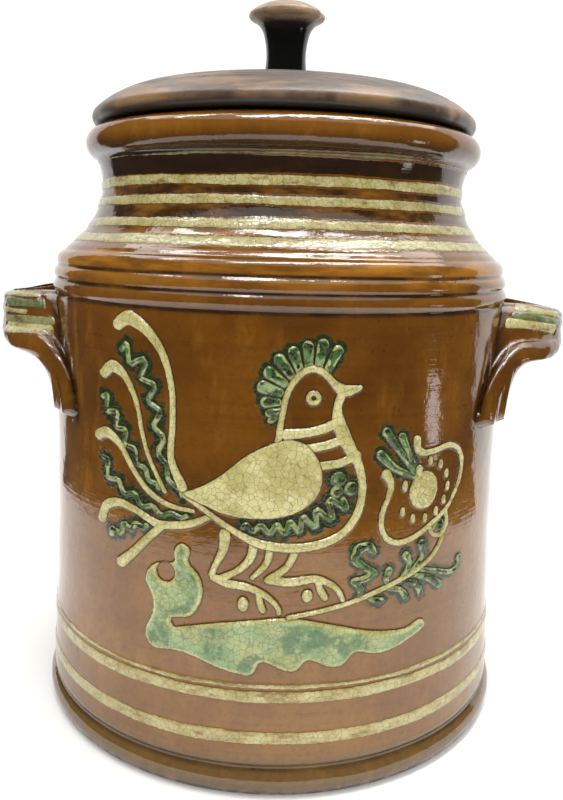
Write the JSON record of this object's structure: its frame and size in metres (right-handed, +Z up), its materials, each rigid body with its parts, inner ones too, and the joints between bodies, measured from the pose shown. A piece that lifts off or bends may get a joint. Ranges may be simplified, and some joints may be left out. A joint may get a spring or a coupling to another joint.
{
  "type": "butter crock",
  "caption": "Lidded slip-trailed redware storage crock with two lug strap handles, a rolled rim and a turned wooden lid with a mushroom knob.",
  "frame": {"origin": "on the pot's axis, at the bottom of the foot, where it stands", "axes": "+Z up along the pot's axis; the slip-trailed picture faces -Y; the handles stand out along X"},
  "size_m": [0.2856, 0.236, 0.3406],
  "materials": {
    "glaze": "gloss",
    "cream_slip": "gloss",
    "green_slip": "gloss",
    "stained_wood": "satin",
    "dark_knob": "satin"
  },
  "bodies": {
    "crock": {"crock_body": "glaze", "left_handle": "glaze", "right_handle": "glaze", "left_handle_stripes": "cream_slip", "right_handle_stripes": "cream_slip", "foot_slip_band_lower": "cream_slip", "foot_slip_band_upper": "cream_slip", "foot_slip_line": "cream_slip", "neck_slip_band_1": "cream_slip", "neck_slip_band_2": "cream_slip", "neck_slip_band_3": "cream_slip", "neck_slip_band_4": "cream_slip", "rim_slip_line": "green_slip", "bird_body": "cream_slip", "bird_crest": "green_slip", "bird_eye": "cream_slip", "bird_legs": "cream_slip", "bird_neck_and_head": "cream_slip", "bird_tail_plumes": "cream_slip", "bird_tail_strands": "green_slip", "bird_wing": "green_slip", "flower_middle": "cream_slip", "flower_rim": "cream_slip", "flower_seed": "green_slip", "flower_sepals": "green_slip", "flower_stem": "cream_slip", "ground_leaf": "green_slip", "stem_leaflets": "green_slip", "stem_tendril": "green_slip"},
    "lid": {"lid": "stained_wood", "lid_knob": "dark_knob"}
  },
  "joints": [
    {"name": "lid_lift", "type": "slide", "parent": "crock", "child": "lid", "axis": [0, 0, 1], "range_m": [0, 0.1]}
  ]
}
